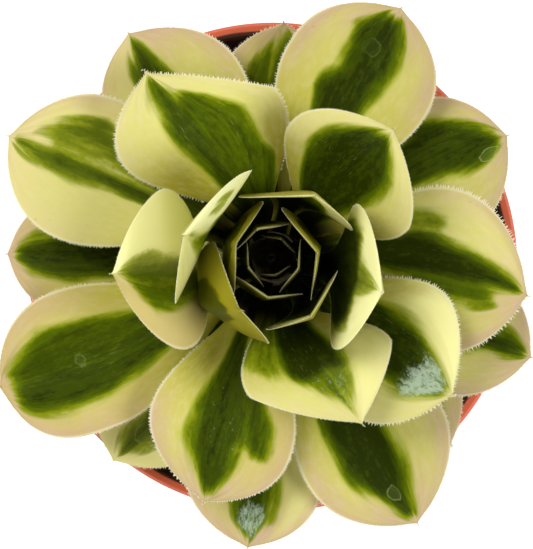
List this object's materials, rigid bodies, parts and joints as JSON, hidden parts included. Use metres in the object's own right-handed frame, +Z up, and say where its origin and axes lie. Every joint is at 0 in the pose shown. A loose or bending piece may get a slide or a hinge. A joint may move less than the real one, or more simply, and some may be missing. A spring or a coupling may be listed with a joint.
{
  "type": "potted aeonium",
  "caption": "Variegated aeonium rosette of broad fleshy leaves on a short stem, in soil in a tapered terracotta-coloured plastic nursery pot.",
  "frame": {"origin": "centre of the pot's underside, on the surface it stands on", "axes": "+Z up along the pot's axis; +X and +Y as the picture's right and top, since it looks straight down"},
  "size_m": [0.126, 0.1288, 0.1673],
  "materials": {
    "pot": "smooth moulded plastic, terracotta orange, satin",
    "soil": "damp dark potting soil with white perlite",
    "stem": "green-brown bark with leaf scars",
    "leaf_outer": "smooth succulent leaf, cream margins with a dark green middle, satin",
    "leaf_middle": "smooth succulent leaf, cream margins with a dark green middle, satin",
    "leaf_cup": "young succulent leaf, yellow-cream margins, green middle, satin",
    "bud": "tiny young leaves, green, satin"
  },
  "bodies": {
    "root": {"pot": "pot", "soil": "soil", "stem": "stem", "leaf_01": "leaf_outer", "leaf_02": "leaf_outer", "leaf_03": "leaf_outer", "leaf_04": "leaf_outer", "leaf_05": "leaf_outer", "leaf_06": "leaf_outer", "leaf_07": "leaf_outer", "leaf_08": "leaf_outer", "leaf_09": "leaf_outer", "leaf_10": "leaf_outer", "leaf_11": "leaf_outer", "leaf_12": "leaf_outer", "leaf_13": "leaf_outer", "leaf_14": "leaf_outer", "leaf_15": "leaf_middle", "leaf_16": "leaf_middle", "leaf_17": "leaf_middle", "leaf_18": "leaf_middle", "leaf_19": "leaf_middle", "leaf_20": "leaf_cup", "leaf_21": "leaf_cup", "leaf_22": "leaf_cup", "leaf_23": "leaf_cup", "leaf_24": "leaf_cup", "leaf_25": "leaf_cup", "leaf_26": "leaf_cup", "leaf_27": "leaf_cup", "leaf_28": "leaf_cup", "leaf_29": "leaf_cup", "leaf_30": "leaf_cup", "leaf_31": "leaf_cup", "leaf_32": "leaf_cup", "bud": "bud"}
  },
  "joints": []
}
